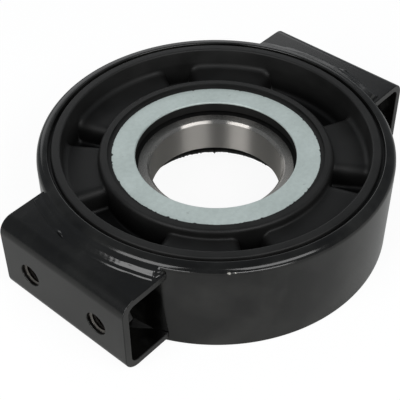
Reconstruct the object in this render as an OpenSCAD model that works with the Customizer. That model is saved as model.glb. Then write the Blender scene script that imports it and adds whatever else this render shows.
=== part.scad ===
// Driveshaft centre bearing: a deep-groove ball bearing carried in a rubber support inside a steel
// ring, with two folded brackets welded to the ring. Millimetres, +Z along the shaft axis.
// The origin is on the shaft axis, on the housing's lower face.

/* [Bearing] */
// Bore of the inner race, the shaft seat
bore_d = 70; // [66:0.5:74]
// Outside diameter of the outer race
bearing_od = 110; // [106:0.5:114]
// Width of both races
bearing_w = 20; // [19:0.5:24]
// Metal left behind each ball groove
race_wall = 3.05; // [2.5:0.05:4]
// Number of balls
ball_count = 11; // [8:1:12]
// Play between a ball and its groove
ball_play = 0.2; // [0.1:0.05:0.3]
// Gap between the lands of the two races
land_gap = 7.2; // [6.5:0.1:8]
// Chamfer at both ends of the bore
bore_chamfer = 1.5; // [0.5:0.1:2]
// Chamfer at both ends of the outer race
race_chamfer = 0.6; // [0.3:0.1:1]

/* [Ball cage] */
// Sheet thickness of the pressed cage halves
cage_t = 0.9; // [0.7:0.1:1]
// Width of the cage sheet across the ball track
cage_w = 3.6; // [2.8:0.1:4.4]
// Play between a ball and its cage pocket
pocket_play = 0.25; // [0.15:0.05:0.35]
// Gap between the cage and a bearing seal
cage_gap = 0.6; // [0.4:0.1:1]
// Diameter of a cage rivet
rivet_d = 1.5; // [1:0.1:2]
// Diameter of a rivet head
rivet_head_d = 2.8; // [2.4:0.1:3.2]
// Height of a rivet head
rivet_head_h = 0.5; // [0.3:0.1:0.8]

/* [Bearing seals] */
// Thickness of a bearing seal
seal_t = 1.1; // [0.8:0.1:1.2]
// Depth of a bearing seal below the face of the races
seal_inset = 0.4; // [0.2:0.1:0.6]
// Gap between a bearing seal and the inner race
seal_gap = 0.3; // [0.2:0.05:0.6]

/* [Dust guards] */
// Width of a dust shield's flat ring
shield_w = 12.6; // [10:0.2:15]
// Sheet thickness of a dust shield
shield_t = 1.2; // [0.8:0.1:1.6]
// Height of a shield's outer face above the bearing
shield_rise = 8; // [6:0.5:9]
// Distance from a shield's inner edge back to its dust seal
dust_seal_back = 0.6; // [0.2:0.1:2]
// Gap between the lip of a dust seal and the bearing
dust_seal_gap = 1.2; // [0.8:0.1:2]
// Step from the outer race's land to the foot of a dust seal
dust_seal_step = 0.9; // [0.5:0.1:2]

/* [Sleeve and rubber] */
// Wall of the sleeve that holds the bearing
sleeve_t = 2; // [1.5:0.1:3]
// Width of the rubber collar round the sleeve
collar_w = 4.5; // [3:0.1:6]
// Height of the collar above the dust shield
collar_rise = 2; // [1:0.1:3]
// Rounding of the collar's outer edge
collar_edge_r = 2; // [0.5:0.1:3]
// Width of the outer rubber rim
rim_w = 4.8; // [3:0.1:7]
// Rounding of the rim's edges
rim_edge_r = 1; // [0.4:0.1:1.5]
// Width of the groove between the rim and the housing
groove_w = 1.7; // [1:0.1:2.5]
// Depth of that groove
groove_depth = 3; // [1.5:0.1:6]
// Depth of the rubber blocks below the housing's face
block_drop = 12; // [9:0.5:15]
// Depth of the pockets between the blocks
pocket_drop = 24; // [17:0.5:25]
// Fillet where the blocks run out into the rim
foot_r = 5; // [2:0.1:6]
// Rounding of a block's edge at a pocket
block_edge_r = 3; // [1:0.1:4]
// Angle across each of the two wide pockets, in line with the brackets
wide_pocket_deg = 41; // [30:0.5:50]
// Angle across each of the four narrow pockets
narrow_pocket_deg = 11; // [6:0.5:16]

/* [Housing] */
// Outside diameter of the housing ring
housing_d = 186; // [180:0.5:192]
// Wall of the housing ring
housing_wall = 6; // [5:0.1:8]
// Height of the housing ring
housing_h = 54; // [50:0.5:60]
// Rounding of the ring's upper outer edge
housing_edge_r = 4; // [2:0.1:4.5]
// Rounding of the ring's lower outer edge
housing_base_r = 1; // [0.4:0.1:2]
// Chamfer of the ring's inner edges
housing_chamfer = 0.8; // [0.4:0.1:1.2]

/* [Brackets] */
// Distance from the housing's wall to the outer face of a bracket's web
web_reach = 19; // [17:0.5:24]
// Length of a bracket
bracket_len = 84; // [76:0.5:92]
// Height of a bracket's underside above the housing's lower face
bracket_rise = 3; // [1:0.1:4]
// Depth of a bracket's top below the housing's upper face
bracket_drop = 5; // [4:0.1:8]
// Thickness of the bracket plate
plate_t = 4; // [3:0.1:5]
// Outside radius of the folds
fold_r = 8; // [6:0.1:10]
// Diameter of a bolt hole in the web
hole_d = 12.4; // [12.2:0.1:13]
// Distance between the two bolt holes of a web
hole_spacing = 46; // [38:0.5:54]
// Height of the bolt holes above the bracket's underside
hole_rise = 21.5; // [18:0.1:25]

/* [Weld nuts] */
// Width across the flats of a weld nut
nut_af = 19; // [17:0.1:21]
// Height of a weld nut
nut_h = 10; // [6:0.1:10.5]
// Hole through a weld nut, at the outside of its thread
nut_bore_d = 12; // [11.5:0.1:12.2]

/* [Welds] */
// Reach of the upper weld over the flange
weld_leg = 6.2; // [4:0.1:7]
// Height of the upper weld on the ring
weld_rise = 3.4; // [2.5:0.1:3.8]
// Reach of the lower weld over the flange
low_weld_leg = 4; // [3:0.1:5]
// Height of the lower weld on the ring
low_weld_rise = 3.4; // [2.5:0.1:4]
// Rounding of the face of the weld beads
weld_crown_r = 5; // [4.5:0.1:9]
// Distance from the end of a weld to the end of the bracket
weld_inset = 0.5; // [0.2:0.1:6]

/* [Hidden] */
$fn = 96;

mid_z = housing_h / 2;
black_paint = "#262725";
black_rubber = "#1c1c1c";
zinc = "#b9c4c4";
ground_steel = "#8f8b85";
cage_steel = "#a9a7a1";

// Radii of the bearing, from the bore outwards
bore_r = bore_d / 2;
race_or = bearing_od / 2;
pitch_r = (bore_r + race_or) / 2;
inner_land_r = pitch_r - land_gap / 2;
outer_land_r = pitch_r + land_gap / 2;
ball_step = 360 / ball_count;

// The balls are the largest that fit between the races and, in their cage, between the seals
radial_room = race_or - bore_r - 2 * (race_wall + ball_play);
axial_room = bearing_w - 2 * (seal_inset + seal_t + cage_gap + cage_t + pocket_play);
ball_r = min(radial_room, axial_room) / 2;

// Radii of the dust guards, the rubber and the housing
shield_ir = race_or - shield_w;
dust_seal_ir = shield_ir + dust_seal_back;
sleeve_or = race_or + sleeve_t;
collar_or = sleeve_or + collar_w;
housing_or = housing_d / 2;
housing_ir = housing_or - housing_wall;
rim_or = housing_ir - groove_w;
rim_ir = rim_or - rim_w;

// Heights above the middle plane
bearing_half = bearing_w / 2;
shield_half = bearing_half + shield_rise;
collar_half = shield_half + collar_rise;
block_half = mid_z - block_drop;
pocket_half = mid_z - pocket_drop;

// Places on the brackets
bracket_h = housing_h - bracket_rise - bracket_drop;
web_x = housing_or + web_reach;
web_inner_x = web_x - plate_t;
low_flange_top = bracket_rise + plate_t;
bracket_top = bracket_rise + bracket_h;
hole_z = bracket_rise + hole_rise;

// Small overlap that carries a cut clear through a face
cut = 1;

// Keeps what is drawn above the middle plane and repeats it below
module both_halves() {
    children();
    mirror([0, 1]) children();
}

// Turns a section drawn about the middle plane into a ring
module ring_about_middle() {
    translate([0, 0, mid_z]) rotate_extrude() children();
}

// Places a ring piece at the upper or, mirrored, the lower face of the part
module on_face(upper) {
    translate([0, 0, mid_z]) mirror([0, 0, upper ? 0 : 1]) children();
}

// Repeats about the shaft axis, once for each ball, starting at a given share of a step
module round_balls(start = 0) {
    for (i = [0 : ball_count - 1])
        rotate([0, 0, (i + start) * ball_step]) translate([pitch_r, 0, 0]) children();
}

// Upright strip with both upper corners rounded
module rounded_strip(w, h, r) {
    square([w, h - r]);
    translate([r, 0]) square([w - 2 * r, h]);
    for (x = [r, w - r]) translate([x, h - r]) circle(r);
}

// Section of the housing ring at its real height, with rounded outer edges
module housing_section() {
    difference() {
        intersection() {
            translate([housing_ir, 0]) square([housing_wall, housing_h]);
            union() {
                square([housing_or - housing_edge_r, housing_h]);
                square([housing_or - housing_base_r, housing_h - housing_edge_r]);
                translate([0, housing_base_r])
                    square([housing_or, housing_h - housing_base_r - housing_edge_r]);
                translate([housing_or - housing_base_r, housing_base_r]) circle(housing_base_r);
                translate([housing_or - housing_edge_r, housing_h - housing_edge_r]) circle(housing_edge_r);
            }
        }
        for (z = [0, housing_h])
            translate([housing_ir, z]) rotate(45) square(housing_chamfer * sqrt(2), center = true);
    }
}

module housing_ring() {
    color(black_paint) rotate_extrude() housing_section();
}

// Section of a folded channel, web on the left at x = 0 and flanges to the right
module channel_section(reach) {
    difference() {
        folded_outline(reach, bracket_h, fold_r);
        translate([plate_t, plate_t])
            folded_outline(reach, bracket_h - 2 * plate_t, fold_r - plate_t);
    }
}

// Rectangle with its two left corners rounded
module folded_outline(w, h, r) {
    translate([r, 0]) square([w - r, h]);
    translate([0, r]) square([w, h - 2 * r]);
    for (y = [r, h - r]) translate([r, y]) circle(r);
}

// Bracket on the -X side: a folded channel trimmed to the ring, with two holes in its web
module bracket() {
    difference() {
        translate([-web_x, bracket_len / 2, bracket_rise]) rotate([90, 0, 0])
            linear_extrude(bracket_len) channel_section(web_x);
        cylinder(h = housing_h, r = housing_or, $fn = 192);
        translate([-web_x - cut, 0, hole_z]) bolt_row(plate_t + 2 * cut, hole_d);
    }
}

// Row of two round bars along +X, at the bolt holes
module bolt_row(h, d) {
    for (side = [-1, 1])
        translate([0, side * hole_spacing / 2, 0]) rotate([0, 90, 0]) cylinder(h = h, d = d);
}

module left_bracket() {
    color(black_paint) bracket();
}

module right_bracket() {
    color(black_paint) rotate([0, 0, 180]) bracket();
}

// Rounded section of a weld that fills the corner between a flange and the ring
module weld_section(foot_z, leg, rise) {
    half_chord = norm([leg, rise]) / 2;
    drop = sqrt(weld_crown_r * weld_crown_r - half_chord * half_chord) / (2 * half_chord);
    difference() {
        intersection() {
            translate([housing_or + leg / 2 - rise * drop, foot_z + rise / 2 - leg * drop])
                circle(weld_crown_r);
            translate([housing_ir, foot_z]) square([housing_wall + leg, rise]);
        }
        housing_section();
    }
}

// Weld on the -X side, along the arc where the flange meets the ring
module weld(foot_z, leg, rise) {
    half_angle = asin((bracket_len / 2 - weld_inset) / (housing_or + leg));
    rotate([0, 0, 180 - half_angle]) rotate_extrude(angle = 2 * half_angle) weld_section(foot_z, leg, rise);
}

module upper_weld() {
    weld(bracket_top, weld_leg, weld_rise);
}

module lower_weld() {
    weld(low_flange_top, low_weld_leg, low_weld_rise);
}

module left_upper_weld() {
    color(black_paint) upper_weld();
}

module left_lower_weld() {
    color(black_paint) lower_weld();
}

module right_upper_weld() {
    color(black_paint) rotate([0, 0, 180]) upper_weld();
}

module right_lower_weld() {
    color(black_paint) rotate([0, 0, 180]) lower_weld();
}

// Pair of hexagon nuts on the inside of the -X web
module weld_nuts() {
    difference() {
        for (side = [-1, 1])
            translate([-web_inner_x, side * hole_spacing / 2, hole_z]) rotate([0, 90, 0]) rotate([0, 0, 30])
                cylinder(h = nut_h, d = nut_af / cos(30), $fn = 6);
        translate([-web_inner_x - cut, 0, hole_z]) bolt_row(nut_h + 2 * cut, nut_bore_d);
    }
}

module left_weld_nuts() {
    color(black_paint) weld_nuts();
}

module right_weld_nuts() {
    color(black_paint) rotate([0, 0, 180]) weld_nuts();
}

// Section of the rubber above the middle plane, through a block
module support_half_section() {
    translate([sleeve_or, 0]) square([housing_ir - sleeve_or, block_half]);
    translate([rim_ir, 0]) square([housing_ir - rim_ir, mid_z - groove_depth]);
    translate([rim_ir, 0]) rounded_strip(rim_w, mid_z, rim_edge_r);
    translate([sleeve_or, 0]) square([collar_w - collar_edge_r, collar_half]);
    translate([sleeve_or, 0]) square([collar_w, collar_half - collar_edge_r]);
    translate([collar_or - collar_edge_r, collar_half - collar_edge_r]) circle(collar_edge_r);
    translate([rim_ir - foot_r, block_half]) difference() {
        square(foot_r);
        translate([0, foot_r]) circle(foot_r);
    }
}

// Corner strip that rounds the edge of a block, along +X with the pocket on the -Y side
module block_edge_cut() {
    rotate([90, 0, 90]) linear_extrude(housing_or) difference() {
        translate([-cut, block_half - block_edge_r])
            square([cut + block_edge_r, block_drop + block_edge_r + cut]);
        translate([block_edge_r, block_half - block_edge_r]) circle(block_edge_r);
    }
}

// Space of one pocket above the middle plane, centred on +X, with rounded upper edges
module pocket(width_deg) {
    intersection() {
        rotate_extrude() translate([collar_or, pocket_half])
            square([rim_ir - collar_or, mid_z - pocket_half + cut]);
        union() {
            rotate([0, 0, -width_deg / 2]) rotate_extrude(angle = width_deg)
                square([housing_or, housing_h]);
            for (side = [0, 1]) mirror([0, side, 0]) rotate([0, 0, width_deg / 2]) block_edge_cut();
        }
    }
}

// Two wide pockets in line with the brackets and four narrow ones between
module pockets() {
    for (i = [0 : 5]) rotate([0, 0, 60 * i]) pocket(i % 3 == 0 ? wide_pocket_deg : narrow_pocket_deg);
}

module rubber_support() {
    color(black_rubber) difference() {
        ring_about_middle() both_halves() support_half_section();
        for (upper = [true, false]) on_face(upper) pockets();
    }
}

module inner_sleeve() {
    color(black_paint) ring_about_middle() translate([race_or, -shield_half])
        square([sleeve_t, 2 * shield_half]);
}

// Pressed sheet cup: a flat ring with a skirt that stands on the outer race
module dust_shield() {
    rotate_extrude() {
        translate([shield_ir, shield_half - shield_t]) square([shield_w, shield_t]);
        translate([race_or - shield_t, bearing_half]) square([shield_t, shield_rise]);
    }
}

module upper_dust_shield() {
    color(zinc) on_face(true) dust_shield();
}

module lower_dust_shield() {
    color(zinc) on_face(false) dust_shield();
}

// Rubber ring inside a shield: its foot stands on the outer race and its lip hangs over the bearing
module dust_seal() {
    foot_ir = outer_land_r + dust_seal_step;
    seal_or = race_or - shield_t;
    roof = shield_half - shield_t;
    lip_z = bearing_half + dust_seal_gap;
    rotate_extrude() {
        translate([dust_seal_ir, lip_z]) square([seal_or - dust_seal_ir, roof - lip_z]);
        translate([foot_ir, bearing_half]) square([seal_or - foot_ir, roof - bearing_half]);
    }
}

module upper_dust_seal() {
    color(black_rubber) on_face(true) dust_seal();
}

module lower_dust_seal() {
    color(black_rubber) on_face(false) dust_seal();
}

// Round groove that the balls run in
module ball_groove() {
    translate([pitch_r, 0]) circle(ball_r + ball_play);
}

module bearing_outer_race() {
    color(ground_steel) ring_about_middle() both_halves() difference() {
        translate([outer_land_r, 0]) square([race_or - outer_land_r, bearing_half]);
        ball_groove();
        translate([race_or, bearing_half]) rotate(45) square(race_chamfer * sqrt(2), center = true);
    }
}

module bearing_inner_race() {
    color(ground_steel) ring_about_middle() both_halves() difference() {
        translate([bore_r, 0]) square([inner_land_r - bore_r, bearing_half]);
        ball_groove();
        translate([bore_r, bearing_half]) rotate(45) square(bore_chamfer * sqrt(2), center = true);
    }
}

// Flat rubber seal held in the outer race, just clear of the inner race
module bearing_seal() {
    rotate_extrude() translate([inner_land_r + seal_gap, bearing_half - seal_inset - seal_t])
        square([land_gap - seal_gap, seal_t]);
}

module upper_bearing_seal() {
    color(black_rubber) on_face(true) bearing_seal();
}

module lower_bearing_seal() {
    color(black_rubber) on_face(false) bearing_seal();
}

// One pressed half of the ball cage: flat lands between domed pockets, drilled for the rivets
module cage_half() {
    pocket_r = ball_r + pocket_play;
    difference() {
        intersection() {
            rotate_extrude() translate([pitch_r - cage_w / 2, 0]) square([cage_w, bearing_half]);
            union() {
                cylinder(h = cage_t, r = race_or);
                round_balls() sphere(pocket_r + cage_t);
            }
        }
        round_balls() sphere(pocket_r);
        round_balls(0.5) translate([0, 0, -cut]) cylinder(h = cage_t + 2 * cut, d = rivet_d);
    }
}

module upper_cage() {
    color(cage_steel) on_face(true) cage_half();
}

module lower_cage() {
    color(cage_steel) on_face(false) cage_half();
}

module cage_rivets() {
    color(cage_steel) translate([0, 0, mid_z]) round_balls(0.5) {
        cylinder(h = 2 * cage_t, d = rivet_d, center = true);
        for (side = [0, 1]) mirror([0, 0, side]) translate([0, 0, cage_t])
            cylinder(h = rivet_head_h, d = rivet_head_d);
    }
}

module ball(i) {
    color(ground_steel) rotate([0, 0, (i - 1) * ball_step]) translate([pitch_r, 0, mid_z]) sphere(ball_r);
}

housing_ring();
left_bracket();
right_bracket();
left_upper_weld();
left_lower_weld();
right_upper_weld();
right_lower_weld();
left_weld_nuts();
right_weld_nuts();
rubber_support();
inner_sleeve();
upper_dust_shield();
lower_dust_shield();
upper_dust_seal();
lower_dust_seal();
bearing_outer_race();
bearing_inner_race();
upper_bearing_seal();
lower_bearing_seal();
upper_cage();
lower_cage();
cage_rivets();
for (i = [1 : ball_count]) ball(i);
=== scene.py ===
# Driveshaft centre bearing: a sealed ball bearing in a moulded rubber support, inside a black steel ring with
# two welded brackets. The CAD pieces give the places and sizes, and each section makes one piece look real.
import math

import bmesh
import bpy
from mathutils import Matrix, Vector, noise


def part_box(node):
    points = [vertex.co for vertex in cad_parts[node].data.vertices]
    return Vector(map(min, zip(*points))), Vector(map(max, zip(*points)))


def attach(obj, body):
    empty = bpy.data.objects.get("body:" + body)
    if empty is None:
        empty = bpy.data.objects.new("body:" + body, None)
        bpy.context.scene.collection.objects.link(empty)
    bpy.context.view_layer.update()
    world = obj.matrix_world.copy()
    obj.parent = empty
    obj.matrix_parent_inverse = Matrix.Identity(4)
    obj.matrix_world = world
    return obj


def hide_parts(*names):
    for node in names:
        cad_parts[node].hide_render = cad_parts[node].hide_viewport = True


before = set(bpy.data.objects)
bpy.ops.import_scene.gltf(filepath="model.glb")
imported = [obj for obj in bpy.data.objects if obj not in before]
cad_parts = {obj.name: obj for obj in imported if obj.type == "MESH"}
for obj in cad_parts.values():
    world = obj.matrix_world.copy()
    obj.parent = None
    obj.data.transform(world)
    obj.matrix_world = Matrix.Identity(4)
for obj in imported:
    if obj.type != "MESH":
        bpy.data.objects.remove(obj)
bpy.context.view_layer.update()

# Housing ring: a thick steel ring, rolled, welded and machined on its faces. It is sprayed with satin black
# chassis paint, which has a fine orange-peel skin and is chipped here and there along its upper edge.
mm = 0.001
ring_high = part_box("housing_ring")[1]
ring_or = ring_high.x
ring_top = ring_high.z
middle = ring_top / 2
ring_wall = 6 * mm
ring_ir = ring_or - ring_wall
ring_edge_r = 4 * mm
ring_base_r = 1 * mm
ring_bore_r = 0.8 * mm
soot_black = (0.0014, 0.0014, 0.0012, 1)
worn_black = (0.0095, 0.0095, 0.0086, 1)
smear_grey = (0.019, 0.019, 0.0175, 1)
dust_grey = (0.05, 0.05, 0.046, 1)
pale_primer = (0.36, 0.35, 0.32, 1)
chip_turns = (-135.5, -133.6, 64)
chip_size = 1.3 * mm


class Wire:
    """One output of a shader's node tree. Arithmetic on wires adds the Math nodes."""

    def __init__(self, tree, socket=None):
        self.tree = tree
        self.socket = socket

    def node(self, kind, settings=None, values=None, out=0):
        """Adds a node: its settings come first, then the values or links of its sockets."""
        made = self.tree.nodes.new(kind)
        for key, value in (settings or {}).items():
            if key == "stops":
                while len(made.color_ramp.elements) < len(value):
                    made.color_ramp.elements.new(1)
                for stop, (place, shade) in zip(made.color_ramp.elements, value):
                    stop.position = place
                    stop.color = (shade, shade, shade, 1)
            else:
                setattr(made, key, value)
        for key, value in (values or {}).items():
            if isinstance(value, Wire):
                self.tree.links.new(value.socket, made.inputs[key])
            else:
                made.inputs[key].default_value = value
        return Wire(self.tree, made.outputs[out] if made.outputs else None)

    def maths(self, operation, first, second):
        return self.node("ShaderNodeMath", {"operation": operation}, {0: first, 1: second})

    def __add__(self, other):
        return self.maths("ADD", self, other)

    def __radd__(self, other):
        return self.maths("ADD", other, self)

    def __sub__(self, other):
        return self.maths("SUBTRACT", self, other)

    def __rsub__(self, other):
        return self.maths("SUBTRACT", other, self)

    def __mul__(self, other):
        return self.maths("MULTIPLY", self, other)

    def __rmul__(self, other):
        return self.maths("MULTIPLY", other, self)

    def __lt__(self, other):
        return self.maths("LESS_THAN", self, other)

    def place(self):
        """Object coordinates, in metres."""
        return self.node("ShaderNodeTexCoord", out="Object")

    def grain(self, scale, detail=3, stretch=None):
        """Noise from 0 to 1 with so many features to a metre, stretched along an axis if need be."""
        where = self.place()
        if stretch:
            where = self.node("ShaderNodeMapping", values={"Vector": where, "Scale": stretch})
        return self.node("ShaderNodeTexNoise", values={"Vector": where, "Scale": scale, "Detail": detail})

    def ramp(self, *stops):
        """This value through a ramp of grey stops."""
        return self.node("ShaderNodeValToRGB", {"stops": stops}, {"Fac": self})

    def mix(self, share, first, second):
        """A colour between two others."""
        return self.node("ShaderNodeMix", {"data_type": "RGBA"}, {0: share, 6: first, 7: second}, out=2)

    def bump(self, height, depth):
        """A normal tilted by a height map of so many metres."""
        return self.node("ShaderNodeBump", values={"Height": height, "Distance": depth})


def new_material(name):
    """An empty material and the wire that adds its nodes."""
    material = bpy.data.materials.new(name)
    material.use_nodes = True
    material.node_tree.nodes.clear()
    return material, Wire(material.node_tree)


def surface(wire, **values):
    """Ends a material with one Principled surface."""
    sockets = {key.replace("_", " ").title().replace("Ior", "IOR"): value for key, value in values.items()}
    shader = wire.node("ShaderNodeBsdfPrincipled", values=sockets)
    wire.node("ShaderNodeOutputMaterial", values={"Surface": shader})


def black_paint(name, gloss, peel, worn, chips=(), shine=0.5):
    """Sprayed black paint of a given roughness: cloudy, with a peeled skin and chips down to the primer."""
    material, wire = new_material(name)
    clouds = wire.grain(38, 5).ramp((0.4, 0), (0.72, 1))
    haze = wire.grain(210, 4)
    scuffs = wire.grain(150, 4, stretch=(1, 1, 0.3)).ramp((0.58, 0), (0.72, 1))
    specks = wire.grain(700, 1).ramp((0.76, 0), (0.82, 1))
    skin = wire.grain(1300, 2) + 0.35 * wire.grain(4200, 2)
    coat = wire.mix(clouds, soot_black, worn)
    colour = wire.mix(specks * 0.12 + scuffs * 0.08, coat, dust_grey)
    for spot, size in chips:
        away = wire.node("ShaderNodeVectorMath", {"operation": "DISTANCE"}, {0: wire.place(), 1: spot},
                         out="Value")
        colour = wire.mix(away < size * wire.grain(1100, 2), colour, pale_primer)
    surface(wire, base_color=colour, roughness=gloss - 0.04 + 0.05 * clouds + 0.04 * haze,
            specular_ior_level=shine, normal=wire.bump(skin, peel))
    return material


def turned(outline, steps=288):
    """A ring: the corners of its section, as (radius, height, rounding), spun round the shaft and rounded."""
    mesh = bmesh.new()
    corners = [mesh.verts.new((radius, 0, height)) for radius, height, _ in outline]
    sides = [mesh.edges.new(pair) for pair in zip(corners, corners[1:] + corners[:1])]
    bmesh.ops.spin(mesh, geom=corners + sides, cent=(0, 0, 0), axis=(0, 0, 1), angle=math.tau, steps=steps,
                   use_merge=True)
    bmesh.ops.recalc_face_normals(mesh, faces=mesh.faces)
    for radius, height, rounding in outline:
        rim = [edge for edge in mesh.edges if all(
            abs(v.co.xy.length - radius) + abs(v.co.z - height) < 0.01 * mm for v in edge.verts)]
        if rounding:
            bmesh.ops.bevel(mesh, geom=rim, offset=rounding, segments=6, profile=0.5, affect="EDGES",
                            material=-1)
    return mesh


def piece(name, mesh, material, body, sharp=32):
    """Makes an object of a bmesh: smooth but for its sharp edges, and riding on a body of the CAD."""
    for face in mesh.faces:
        face.smooth = True
    data = bpy.data.meshes.new(name)
    mesh.to_mesh(data)
    mesh.free()
    data.set_sharp_from_angle(angle=math.radians(sharp))
    data.materials.append(material)
    made = bpy.data.objects.new(name, data)
    bpy.context.collection.objects.link(made)
    made.modifiers.new("even_flats", "WEIGHTED_NORMAL").keep_sharp = True
    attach(made, body)
    return made


def edge_place(turn):
    """A point on the ring's rounded upper edge, so many degrees round the shaft."""
    radius = ring_or - 0.1 * ring_edge_r
    return Matrix.Rotation(math.radians(turn), 3, "Z") @ Vector((radius, 0, ring_top - 0.6 * ring_edge_r))


edge_chips = [(edge_place(turn), chip_size / (1 + i)) for i, turn in enumerate(chip_turns)]
ring_paint = black_paint("ring_paint", gloss=0.15, peel=0.002 * mm, worn=smear_grey, chips=edge_chips)
ring = piece("painted_ring", turned([
    (ring_ir, 0, ring_bore_r),
    (ring_or, 0, ring_base_r),
    (ring_or, ring_top, ring_edge_r),
    (ring_ir, ring_top, ring_bore_r),
]), ring_paint, "housing")
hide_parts("housing_ring")

# Brackets: two channels folded from 4 mm steel plate, their flanges trimmed to the ring and their webs
# drilled for bolts. The sheared edges are broken, and the black paint is duller than the ring's.
sheared_edge = 0.45 * mm


def cad_copy(node):
    """A CAD node's own shape, with its triangles merged back into whole faces."""
    mesh = bmesh.new()
    mesh.from_mesh(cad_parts[node].data)
    bmesh.ops.remove_doubles(mesh, verts=mesh.verts, dist=0.004 * mm)
    bmesh.ops.dissolve_limit(mesh, angle_limit=math.radians(0.4), verts=mesh.verts, edges=mesh.edges)
    return mesh


def broken_edges(mesh, width):
    """Rounds every sharp edge of a mesh."""
    sharp = [edge for edge in mesh.edges if edge.calc_face_angle(0) > math.radians(35)]
    bmesh.ops.bevel(mesh, geom=sharp, offset=width, segments=3, profile=0.5, affect="EDGES", material=-1)
    return mesh


bracket_paint = black_paint("bracket_paint", gloss=0.24, peel=0.003 * mm, worn=worn_black)
for side in ("left", "right"):
    node = f"{side}_bracket"
    bracket = piece(f"painted_{node}", broken_edges(cad_copy(node), sheared_edge), bracket_paint, "housing")
    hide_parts(node)

# Weld nuts: two hexagon nuts behind each web, welded there before painting, with an M12 thread for the
# bolts. The thread is one ridge that winds through the nut.
nut_low, nut_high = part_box("left_weld_nuts")
hole_y = nut_high.y - (nut_high.z - nut_low.z) / math.sqrt(3)
hole_z = (nut_low.z + nut_high.z) / 2
thread_pitch = 1.75 * mm
thread_major_r = 6 * mm
thread_minor_r = 5.05 * mm
thread_root = 0.26 * mm
thread_lead = 0.5 * mm
nut_edge = 0.6 * mm
turn_steps = 48
thread_brown = (0.10, 0.09, 0.08, 1)
thread_grey = (0.22, 0.21, 0.195, 1)


def thread_ridge(mesh, start, end):
    """Winds a ridge of the thread along +X or -X, on the inside of a bore that begins at a point."""
    along = end - start
    turns = along.length / thread_pitch - 1
    half = 0.42 * thread_pitch
    inward = along.normalized()
    root = thread_major_r + thread_root
    section = [mesh.verts.new(start + Vector((0, 0, reach)) + inward * (thread_pitch / 2 + shift))
               for reach, shift in ((root, -half), (thread_minor_r, -half / 5), (thread_minor_r, half / 5),
                                    (root, half))]
    loop = [mesh.edges.new(pair) for pair in zip(section, section[1:] + section[:1])]
    bmesh.ops.contextual_create(mesh, geom=loop)
    steps = round(turns * turn_steps)
    swept = bmesh.ops.spin(mesh, geom=loop + section, cent=start, axis=inward, angle=math.tau * turns,
                           steps=steps, dvec=inward * (turns * thread_pitch / steps))
    last = [item for item in swept["geom_last"] if isinstance(item, bmesh.types.BMEdge)]
    bmesh.ops.contextual_create(mesh, geom=last)


def nut_metal():
    """Black paint outside, and bare oily steel where the paint was kept out of the thread."""
    material, wire = new_material("nut_metal")
    where = wire.place()
    sideways = wire.node("ShaderNodeSeparateXYZ", values={0: where}, out="Y")
    across = wire.maths("ABSOLUTE", sideways, 0) - hole_y
    height = wire.node("ShaderNodeSeparateXYZ", values={0: where}, out="Z") - hole_z
    bare = across * across + height * height < (thread_major_r + 2 * thread_root) ** 2
    stain = wire.grain(300, 4)
    surface(wire, base_color=wire.mix(bare, worn_black, wire.mix(stain, thread_brown, thread_grey)),
            metallic=bare * 0.9, roughness=0.36 - 0.16 * bare + 0.1 * stain)
    return material


nut_paint = nut_metal()
for side, outward in (("left", -1), ("right", 1)):
    node = f"{side}_weld_nuts"
    low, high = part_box(node)
    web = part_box(f"{side}_bracket")[0 if outward < 0 else 1].x - outward * thread_lead
    back = high.x if outward < 0 else low.x
    nuts = broken_edges(cad_copy(node), nut_edge)
    for hand in (-1, 1):
        thread_ridge(nuts, Vector((web, hand * hole_y, hole_z)), Vector((back, hand * hole_y, hole_z)))
    bmesh.ops.recalc_face_normals(nuts, faces=nuts.faces)
    threaded = piece(f"threaded_{side}_nuts", nuts, nut_paint, "housing")
    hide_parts(node)

# Welds: beads of arc weld along both flanges of each bracket, where they meet the ring. The metal set in long
# ripples, and the paint lies thicker and glossier over it than on the plate.
bead_steps = 260
bead_crown = 1.1 * mm
crown_place = 0.64
crown_drop = 0.36
toe_place = 0.12
toe_back = 0.22
step_soft = 0.1
bead_root = 2 * mm
bead_sink = 0.3 * mm
bead_low = 0.2 * mm
bead_overrun = 3.4 * mm
bead_start = 2.5 * mm
low_bead_fade = 16 * mm
low_bead_fullness = 0.3
start_share = 0.35
end_share = 0.08
crater_depth = 1.3 * mm
crater_w = 0.9 * mm
ripple_gap = 2.9 * mm
ripple_height = 0.008 * mm
lump_height = 0.2 * mm
lump_len = 13 * mm
streak_len = 6 * mm
streak_share = 0.35
drift_len = 11 * mm
crown_wander = 0.07
toe_lip = 0.38 * mm
undercut_at = -5.5 * mm
undercut_half = 5.5 * mm
undercut_depth = 0.5 * mm
undercut_across = 0.16
spatter_at = -12 * mm
spatter_r = 1.1 * mm
spatter_across = 0.08
spatter_height = 0.6
scar_half = 0.1
crown_steps = 34


def ring_surface(height):
    """Radius of the ring's outer face at a height, round its upper edge too."""
    above = max(0, height - (ring_top - ring_edge_r))
    return ring_or - ring_edge_r + math.sqrt(ring_edge_r ** 2 - above ** 2)


def step(across, place, before, after):
    """A soft-topped ridge over part of a bead's width, from 0 to 1."""
    aside = (across - place) / (after if across > place else before)
    return max(0, 1 - math.hypot(aside, step_soft))


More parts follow.
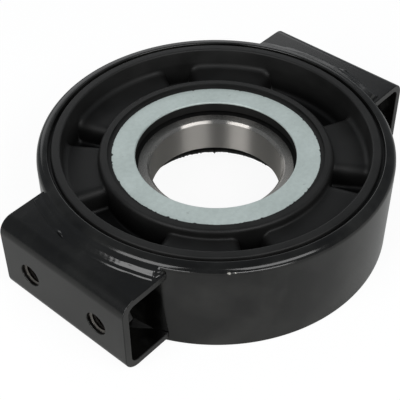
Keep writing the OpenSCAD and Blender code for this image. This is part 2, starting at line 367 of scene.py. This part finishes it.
def weld_bead(node):
    """A bead along the arc of a CAD weld: its section spun round the shaft, then rippled and ended."""
    low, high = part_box(node)
    outward = math.pi if high.x < 0 else 0
    foot, rise = low.z, high.z - low.z
    leg = max(-low.x, high.x) - ring_or
    half_angle = math.asin(high.y / (ring_or + leg))
    upper = foot > middle
    overrun = bead_overrun / ring_or if upper else 0
    fullness = 1 if upper else low_bead_fullness
    fade = bead_overrun if upper else low_bead_fade
    toe = Vector((ring_or + leg, foot))
    upper_toe = Vector((ring_surface(foot + rise - bead_low), foot + rise - bead_low))
    bulge = Vector((rise, toe.x - upper_toe.x)).normalized()
    root = Vector((ring_or - bead_root, foot - bead_sink))
    face = [toe.lerp(upper_toe, i / crown_steps) for i in range(crown_steps + 1)]
    outline = [root, Vector((toe.x, root.y))] + face + [Vector((root.x, upper_toe.y))]
    mesh = bmesh.new()
    begin = Matrix.Rotation(outward - half_angle, 4, "Z")
    section = [mesh.verts.new(begin @ Vector((p.x, 0, p.y))) for p in outline]
    loop = [mesh.edges.new(pair) for pair in zip(section, section[1:] + section[:1])]
    swept = bmesh.ops.spin(mesh, geom=section + loop, cent=(0, 0, 0), axis=(0, 0, 1),
                           angle=2 * half_angle + overrun, steps=bead_steps)
    last = [item for item in swept["geom_last"] if isinstance(item, bmesh.types.BMEdge)]
    for end in (loop, last):
        bmesh.ops.contextual_create(mesh, geom=end)
    seed = Vector((0, 0, 10 * outward + 400 * foot))
    for vert in mesh.verts:
        flat = Vector((vert.co.xy.length, vert.co.z))
        if flat.x < ring_or - 0.75 * bead_root:
            continue
        across = (flat - toe).dot(upper_toe - toe) / (upper_toe - toe).length_squared
        turn = (math.atan2(vert.co.y, vert.co.x) - outward + math.pi) % math.tau - math.pi
        along = turn * ring_or
        past = along - half_angle * ring_or + (0 if upper else fade)
        stop = 1 - max(0, past / fade)
        share = min(stop, start_share + (along + half_angle * ring_or) / bead_start)
        middle_share = 4 * across * (1 - across)
        drift = noise.noise(seed + Vector((along / drift_len, 0, 0)))
        lump = noise.noise(seed + Vector((along / lump_len, 3 * across, 5)))
        lump += streak_share * noise.noise(seed + Vector((along / streak_len, 8 * across, 9)))
        curl = ripple_height * math.cos(math.tau * along / ripple_gap + 2.5 * across + 5 * drift)
        crater = crater_depth * math.exp(-(past / crater_w) ** 2) if upper else 0
        crown = fullness * bead_crown * step(across, crown_place + crown_wander * drift, crown_drop,
                                             1 - crown_place)
        lip = fullness * toe_lip * (1 + drift) * step(across, toe_place, toe_place, toe_back)
        undercut = undercut_depth * math.exp(-((along - undercut_at) / undercut_half) ** 4
                                             - ((across - undercut_across) / scar_half) ** 2)
        spatter = spatter_r * math.exp(-((along - spatter_at) / (2 * spatter_r)) ** 2
                                       - ((across - spatter_across) / scar_half) ** 2)
        rough = (lump_height * lump + curl - crater) * middle_share
        lift = crown + rough + lip - undercut + spatter_height * spatter
        grown = flat + bulge * lift if flat.y >= foot else flat
        shaped = root.lerp(grown, max(end_share, share))
        vert.co = Vector((*(vert.co.xy.normalized() * shaped.x), shaped.y))
    bmesh.ops.recalc_face_normals(mesh, faces=mesh.faces)
    return mesh


weld_paint = black_paint("weld_paint", gloss=0.15, peel=0.002 * mm, worn=worn_black, shine=0.6)
# The lower beads inside the channels get the darkest black without lighter clouds, and less shine: their dark
# colour is painted shade of the channel.
shaded_paint = black_paint("shaded_paint", gloss=0.5, peel=0.006 * mm, worn=soot_black, shine=0.2)
for side in ("left", "right"):
    for level in ("upper", "lower"):
        node = f"{side}_{level}_weld"
        paint = weld_paint if level == "upper" else shaded_paint
        bead = piece(f"{side}_{level}_bead", weld_bead(node), paint, "housing", sharp=50)
        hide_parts(node)

# Inner sleeve: a steel tube that the rubber is moulded onto and the bearing is pressed into. Only its upper
# and lower edges show, dark with primer.
sleeve_primer = black_paint("sleeve_primer", gloss=0.45, peel=0.01 * mm, worn=worn_black)
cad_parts["inner_sleeve"].material_slots[0].material = sleeve_primer

# Rubber support: one moulding of black rubber, bonded to the ring and to the sleeve round the bearing. A rim,
# six blocks and a collar stand up from it on both faces, with two wide and four narrow pockets between them.
sleeve_low, sleeve_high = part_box("inner_sleeve")
sleeve_r = sleeve_high.x
collar_half = 20 * mm
collar_r = sleeve_r + 4.5 * mm
collar_edge_r = 2 * mm
rim_or = ring_ir - 1.7 * mm
rim_ir = rim_or - 4.8 * mm
rim_edge_r = 1 * mm
valley_r = 0.7 * mm
groove_half = middle - 3 * mm
block_half = middle - 12 * mm
pocket_half = middle - 24 * mm
foot_r = 3.2 * mm
crease_r = 1.4 * mm
block_edge_r = 5 * mm
pocket_draft = 0.5 * mm
pocket_floor_r = 2.2 * mm
track_r = (collar_r + rim_ir) / 2
wide_half = math.radians(41 / 2)
narrow_half = math.radians(11 / 2)
blocks_turn = -3
pocket_angles = [(math.radians(blocks_turn + 60 * i), wide_half if i % 3 == 0 else narrow_half)
                 for i in range(6)]
row_step = math.radians(1.5)
edge_steps = 6
# The rubber's own black, and a grey that is partly its bloom and partly painted light on the raised faces.
rubber_black = (0.0016, 0.0016, 0.0016, 1)
bloom_and_painted_light = (0.019, 0.019, 0.0184, 1)


def arc(centre_r, centre_h, radius, start, stop, steps):
    """Points on an arc of a section, as (radius, height), from one angle in degrees to another."""
    turn = [math.radians(start + (stop - start) * i / steps) for i in range(steps + 1)]
    return [(centre_r + radius * math.cos(a), centre_h + radius * math.sin(a)) for a in turn]


def line(first, last, steps):
    """Points between two others, without the ends."""
    return [(first[0] + (last[0] - first[0]) * i / steps, first[1] + (last[1] - first[1]) * i / steps)
            for i in range(1, steps)]


def support_section(floor):
    """Upper half of the rubber's section, from the sleeve to the ring, with its floor at a given height."""
    collar = arc(collar_r - collar_edge_r, collar_half - collar_edge_r, collar_edge_r, 90, 0, 6)
    crease = arc(collar_r + crease_r, floor + crease_r, crease_r, 180, 270, 4)
    foot = arc(rim_ir - foot_r, floor + foot_r, foot_r, 270, 360, 8)
    inner = arc(rim_ir + rim_edge_r, middle - rim_edge_r, rim_edge_r, 180, 90, 5)
    outer = arc(rim_or - rim_edge_r, middle - rim_edge_r, rim_edge_r, 90, 0, 5)
    valley = arc(rim_or + valley_r, groove_half + valley_r, valley_r, 180, 270, 4)
    points = [(sleeve_r, collar_half)] + collar + line(collar[-1], crease[0], 4) + crease
    points += line(crease[-1], foot[0], 6) + foot + line(foot[-1], inner[0], 4) + inner
    return points + line(inner[-1], outer[0], 2) + outer + valley + [(ring_ir, groove_half)]


def edge_profile():
    """Floor height across the edge of a block, as (distance into the pocket, height)."""
    top = arc(-block_edge_r, block_half - block_edge_r, block_edge_r, 90, 0, edge_steps)
    base = arc(pocket_draft + pocket_floor_r, pocket_half + pocket_floor_r, pocket_floor_r, 180, 270,
               edge_steps)
    return top + line(top[-1], base[0], 4) + base


def support_rows():
    """Angles round the shaft at which the section changes, each with the height of the floor there."""
    rows = []
    for centre, half in pocket_angles:
        for hand in (-1, 1):
            rows += [((centre + hand * (half - depth / track_r)) % math.tau, floor)
                     for depth, floor in edge_profile()]
    rows.sort()
    filled = []
    for (angle, floor), (after, _) in zip(rows, rows[1:] + [(rows[0][0] + math.tau, 0)]):
        count = max(1, round((after - angle) / row_step))
        filled += [(angle + (after - angle) * i / count, floor) for i in range(count)]
    return filled + [(filled[0][0] + math.tau, filled[0][1])]


def moulded_support():
    """The whole rubber body: a grid of sections, wrapped round the shaft and mirrored below the middle."""
    rows = support_rows()
    sections = []
    for angle, floor in rows:
        upper = support_section(floor)
        section = upper + [(r, -h) for r, h in reversed(upper)]
        sections.append((angle, section + section[:1]))
    columns = len(sections[0][1]) - 1
    mesh = bmesh.new()
    bmesh.ops.create_grid(mesh, x_segments=len(rows) - 1, y_segments=columns, size=1)
    for vert in mesh.verts:
        angle, section = sections[round((vert.co.x + 1) / 2 * (len(rows) - 1))]
        radius, height = section[round((vert.co.y + 1) / 2 * columns)]
        vert.co = (radius * math.cos(angle), radius * math.sin(angle), middle + height)
    bmesh.ops.remove_doubles(mesh, verts=mesh.verts, dist=0.002 * mm)
    bmesh.ops.recalc_face_normals(mesh, faces=mesh.faces)
    return mesh


def black_rubber(name, rough):
    """Moulded rubber: dull black with a fine matt grain and a random grey bloom, painted lighter on the
    raised faces and darker down in the pockets as painted light and shade.
    """
    material, wire = new_material(name)
    height = wire.node("ShaderNodeSeparateXYZ", values={0: wire.place()}, out="Z")
    # Painted light and shade: by height alone, the colour goes from the plain black in the pockets to the
    # bloom grey on the raised faces.
    painted_height_light = (wire.maths("ABSOLUTE", height - middle, 0) * (1 / middle)).ramp((0.1, 0), (0.7, 1))
    bloom = wire.grain(55, 5).ramp((0.35, 0), (0.75, 1))
    dust = wire.grain(1500, 1).ramp((0.76, 0), (0.8, 1))
    skin = wire.grain(700, 3) + 0.5 * wire.grain(3000, 2)
    worn = wire.mix(painted_height_light * (0.55 + 0.45 * bloom), rubber_black, bloom_and_painted_light)
    colour = wire.mix(dust * 0.25, worn, dust_grey)
    surface(wire, base_color=colour, roughness=rough + 0.1 * bloom, specular_ior_level=0.3,
            normal=wire.bump(skin, 0.03 * mm))
    return material


support_rubber = black_rubber("support_rubber", rough=0.46)
support = piece("moulded_support", moulded_support(), support_rubber, "housing")
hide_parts("rubber_support")

# Rubber flash: the thin ragged skin that the mould left over the sleeve's two edges, from the collar in to
# the shields. It is part of the moulding and was never trimmed.
flash_steps = 900
flash_t = 0.28 * mm
race_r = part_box("bearing_outer_race")[1].x
flash_ir = race_r - 0.1 * mm
flash_or = sleeve_r + 0.5 * mm
flash_reach = 0.9 * mm


def ragged(mesh, edge_r, reach, seed):
    """Tears the inner edge of a thin ring: gently wavy, with a few sharp tags of rubber."""
    for vert in mesh.verts:
        radius = vert.co.xy.length
        if radius < edge_r + 0.01 * mm:
            turn = Vector((vert.co.x / radius, vert.co.y / radius, seed))
            wave = 0.25 * noise.noise(turn * 8) + 0.15 * noise.noise(turn * 23)
            tag = max(0, noise.noise(turn * 37) - 0.22) + 0.6 * max(0, noise.noise(turn * 71) - 0.3)
            vert.co.xy *= (edge_r - reach * (wave + 2 * tag)) / radius
    return mesh


torn_rubber = black_rubber("torn_rubber", rough=0.6)
for face, height, up in (("upper", sleeve_high.z, 1), ("lower", sleeve_low.z, -1)):
    skin = turned([
        (flash_ir, height, 0),
        (flash_or, height, 0),
        (flash_or, height + up * 2 * flash_t, 0),
        (flash_ir, height + up * flash_t, 0),
    ], steps=flash_steps)
    piece(f"{face}_flash", ragged(skin, flash_ir, flash_reach, up), torn_rubber, "housing")

# Ball bearing: ground steel races with eleven polished balls in a two-piece pressed cage, riveted together.
# The inner race turns with the shaft, and its bore and chamfers show fine grinding lines round the axis.
race_low, race_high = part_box("bearing_inner_race")
bore_r = 35 * mm
bore_chamfer = 1.5 * mm
chamfer_edge = 0.25 * mm
land_edge = 0.3 * mm
land_r = race_high.x
ball_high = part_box("ball_1")[1]
pitch_r = (bore_r + race_r) / 2
groove_r = ball_high.z - middle + 0.2 * mm
steel_grey = (0.42, 0.40, 0.375, 1)
steel_pale = (0.52, 0.50, 0.47, 1)
cage_grey = (0.40, 0.39, 0.37, 1)
cage_pale = (0.50, 0.49, 0.47, 1)
ball_bright = (0.62, 0.62, 0.63, 1)
ball_tint = (0.55, 0.55, 0.57, 1)


def bright_steel(name, dark, pale, rough, lines, brushed=0, bore_rough=0):
    """Bare steel with grinding lines round the shaft, a smear of oil and a rougher finish in a bore."""
    material, wire = new_material(name)
    where = wire.place()
    flat = wire.node("ShaderNodeVectorMath", {"operation": "MULTIPLY"}, {0: where, 1: (1, 1, 0)})
    radius = wire.node("ShaderNodeVectorMath", {"operation": "LENGTH"}, {0: flat}, out="Value")
    height = wire.node("ShaderNodeSeparateXYZ", values={0: where}, out="Z")
    rings = wire.node("ShaderNodeCombineXYZ", values={"X": radius, "Y": height})
    marks = wire.node("ShaderNodeTexNoise", values={"Vector": rings, "Scale": 5200, "Detail": 3})
    oil = wire.grain(90, 4)
    colour = wire.mix(marks * 0.6 + oil * 0.4, dark, pale)
    finish = rough - 0.05 + 0.06 * oil + 0.04 * marks + bore_rough * (radius < bore_r + 0.2 * mm)
    surface(wire, base_color=colour, metallic=1, roughness=finish, normal=wire.bump(marks, lines),
            anisotropic=brushed, anisotropic_rotation=0.25)
    return material


race_steel = bright_steel("race_steel", steel_grey, steel_pale, rough=0.27, lines=0.0004 * mm, brushed=1,
                          bore_rough=0.22)
groove_half_h = math.sqrt(groove_r ** 2 - (pitch_r - land_r) ** 2)
groove_turn = math.degrees(math.asin(groove_half_h / groove_r))
groove = [(r, h, 0) for r, h in arc(pitch_r, middle, groove_r, 180 - groove_turn, 180 + groove_turn, 14)]
race = piece("ground_inner_race", turned([
    (bore_r, race_low.z + bore_chamfer, chamfer_edge),
    (bore_r, race_high.z - bore_chamfer, chamfer_edge),
    (bore_r + bore_chamfer, race_high.z, chamfer_edge),
    (land_r, race_high.z, land_edge),
    *groove,
    (land_r, race_low.z, land_edge),
    (bore_r + bore_chamfer, race_low.z, chamfer_edge),
]), race_steel, "inner_race")
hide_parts("bearing_inner_race")
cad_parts["bearing_outer_race"].material_slots[0].material = race_steel
cage_steel = bright_steel("cage_steel", cage_grey, cage_pale, rough=0.36, lines=0.001 * mm)
for node in ("upper_cage", "lower_cage", "cage_rivets"):
    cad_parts[node].material_slots[0].material = cage_steel
ball_steel = bright_steel("ball_steel", ball_tint, ball_bright, rough=0.14, lines=0.0005 * mm)
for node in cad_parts:
    if node.startswith("ball_"):
        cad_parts[node].material_slots[0].material = ball_steel

# Bearing seals and dust seals: black rubber rings, two in the bearing's own faces and one behind each shield.
# The dust seals' lips hang over the bearing, and the lower one carries a ragged edge of flash.
seal_rubber = black_rubber("seal_rubber", rough=0.55)
lip_edge = 0.5 * mm
lip_r = 43 * mm
lip_depth = 1.2 * mm
foot_ir = 49.5 * mm
torn_r = 42 * mm
torn_or = lip_r + 0.4 * mm
for face, up in (("upper", 1), ("lower", -1)):
    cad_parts[f"{face}_bearing_seal"].material_slots[0].material = seal_rubber
    low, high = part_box(f"{face}_dust_seal")
    roof, foot = (high.z, low.z) if up > 0 else (low.z, high.z)
    lip = foot + up * lip_depth
    seal = piece(f"{face}_seal_ring", turned([
        (lip_r, lip, lip_edge),
        (lip_r, roof, 0),
        (high.x, roof, 0),
        (high.x, foot, 0),
        (foot_ir, foot, lip_edge),
        (foot_ir, lip, 0),
    ]), seal_rubber, "housing")
    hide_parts(f"{face}_dust_seal")
lower_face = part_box("lower_dust_shield")[0].z
piece("lower_lip_flash", ragged(turned([
    (torn_r, lower_face - 0.05 * mm, 0),
    (torn_or, lower_face - 0.05 * mm, 0),
    (torn_or, lower_face + 1.9 * mm, 0),
    (torn_r, lower_face + 1.6 * mm, 0),
], steps=flash_steps), torn_r, 1.1 * mm, 7), seal_rubber, "housing")

# Dust shields: cups pressed from thin sheet and plated with pale zinc, which is softly mottled and lightly
# scratched. They close the sleeve on both faces and stand on the outer race.
zinc_dull = (0.56, 0.64, 0.613, 1)
zinc_pale = (0.70, 0.79, 0.762, 1)
zinc_smut = (0.20, 0.22, 0.22, 1)
shield_r = 42.4 * mm
shield_t = 1.2 * mm
shield_edge = 0.45 * mm
lip_roll = 0.8 * mm
zinc_plate, wire = new_material("zinc_plate")
clouds = wire.grain(45, 5).ramp((0.3, 0), (0.7, 1))
mottle = wire.grain(420, 3).ramp((0.35, 0), (0.65, 1))
scratch = wire.grain(500, 2, stretch=(1, 12, 1)).ramp((0.62, 0), (0.66, 1))
smut = wire.grain(330, 3).ramp((0.68, 0), (0.8, 1))
plate = wire.mix(clouds * 0.6 + mottle * 0.4, zinc_dull, zinc_pale)
surface(wire, base_color=wire.mix(smut * 0.5, plate, zinc_smut), metallic=0.3,
        roughness=0.44 + 0.08 * mottle - 0.08 * scratch, normal=wire.bump(mottle + scratch, 0.004 * mm))
for face, up in (("upper", 1), ("lower", -1)):
    low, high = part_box(f"{face}_dust_shield")
    top, skirt = (high.z, low.z) if up > 0 else (low.z, high.z)
    under = top - up * shield_t
    shield = piece(f"plated_{face}_shield", turned([
        (shield_r, under, 0.2 * mm),
        (shield_r, top, lip_roll),
        (high.x, top, shield_edge),
        (high.x, skirt, 0),
        (high.x - shield_t, skirt, 0),
        (high.x - shield_t, under, 0),
    ]), zinc_plate, "housing")
    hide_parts(f"{face}_dust_shield")

# Studio: a pale floor that fades into a white surround, soft boxes to the left, right and back, two low
# strips in front that light the walls, and the camera at the photograph's angle.
floor_size = 6
floor_gap = 0.05 * mm
gloss_share = 0.12
floor_mesh = bmesh.new()
bmesh.ops.create_grid(floor_mesh, x_segments=1, y_segments=1, size=floor_size / 2)
bmesh.ops.translate(floor_mesh, vec=(0, 0, -floor_gap), verts=floor_mesh.verts)
floor_data = bpy.data.meshes.new("floor")
floor_mesh.to_mesh(floor_data)
floor_mesh.free()
floor = bpy.data.objects.new("floor", floor_data)
bpy.context.collection.objects.link(floor)


def seen_directly(wire):
    """1 for what the camera, a gloss or a glass sees, and 0 for the light that falls on matt surfaces."""
    rays = [wire.node("ShaderNodeLightPath", out=kind)
            for kind in ("Is Camera Ray", "Is Glossy Ray", "Is Transmission Ray")]
    return wire.node("ShaderNodeClamp", values={"Value": rays[0] + gloss_share * rays[1] + rays[2]})


floor_material, wire = new_material("pale_floor")
matt = wire.node("ShaderNodeBsdfDiffuse", values={"Color": (0.64, 0.64, 0.62, 1)})
glow = wire.node("ShaderNodeEmission", values={"Color": (1, 1, 1, 1), "Strength": 0.92})
shade = wire.node("ShaderNodeBsdfDiffuse", values={"Color": (0.12, 0.12, 0.12, 1)})
white = wire.node("ShaderNodeAddShader", values={0: glow, 1: shade})
both = wire.node("ShaderNodeMixShader", values={0: seen_directly(wire), 1: matt, 2: white})
wire.node("ShaderNodeOutputMaterial", values={"Surface": both})
floor_data.materials.append(floor_material)

world = bpy.data.worlds.new("studio")
bpy.context.scene.world = world
world.use_nodes = True
world.node_tree.nodes.clear()
wire = Wire(world.node_tree)
sky = wire.node("ShaderNodeBackground", values={"Color": (0.9, 0.95, 1, 1), "Strength": 0.24})
clear = wire.node("ShaderNodeBackground", values={"Color": (1, 1, 1, 1), "Strength": 1})
camera_ray = wire.node("ShaderNodeLightPath", out="Is Camera Ray")
both = wire.node("ShaderNodeMixShader", values={0: camera_ray, 1: sky, 2: clear})
wire.node("ShaderNodeOutputWorld", values={"Surface": both})

view_turn = math.radians(-48.158)
view_height = math.radians(43.279)
view_roll = math.radians(-0.466)
view_distance = 0.52292
view_target = Vector((-0.01345, -0.0006, 0.02))
lens_over_width = 977.785 / 400
camera_data = bpy.data.cameras.new("photo_camera")
camera_data.sensor_width = 36
camera_data.lens = lens_over_width * camera_data.sensor_width
camera_data.clip_start = 0.01
camera = bpy.data.objects.new("photo_camera", camera_data)
bpy.context.collection.objects.link(camera)
turned_to = (Matrix.Rotation(view_turn, 4, "Z") @ Matrix.Rotation(math.pi / 2 - view_height, 4, "X")
             @ Matrix.Rotation(view_roll, 4, "Z"))
camera.matrix_world = Matrix.Translation(view_target) @ turned_to @ Matrix.Translation((0, 0, view_distance))
bpy.context.scene.camera = camera
bpy.context.scene.view_settings.view_transform = "Standard"
lamp_distance = 1.2


def softbox(name, turn, lift, width, height, power):
    """A soft box so many degrees to the right of the camera and above the floor, looking at the part."""
    bearing = view_turn - math.pi / 2 + math.radians(turn)
    rise = math.radians(lift)
    aim = Vector((math.cos(bearing) * math.cos(rise), math.sin(bearing) * math.cos(rise), math.sin(rise)))
    light = bpy.data.lights.new(name, "AREA")
    light.shape = "RECTANGLE"
    light.size = width
    light.size_y = height
    light.energy = power
    lamp = bpy.data.objects.new(name, light)
    bpy.context.collection.objects.link(lamp)
    place = Vector((0, 0, middle)) + aim * lamp_distance
    lamp.matrix_world = Matrix.Translation(place) @ aim.to_track_quat("Z", "Y").to_matrix().to_4x4()


softbox("right_box", 37, 44, 0.8, 0.5, 5)
softbox("left_box", -42, 36, 0.62, 0.64, 4.9)
softbox("right_strip", 23, 4.5, 0.65, 0.14, 2.2)
softbox("left_strip", -26, 4.5, 0.5, 0.14, 1.2)
softbox("back_box", -166, 24, 1.2, 0.5, 1.9)
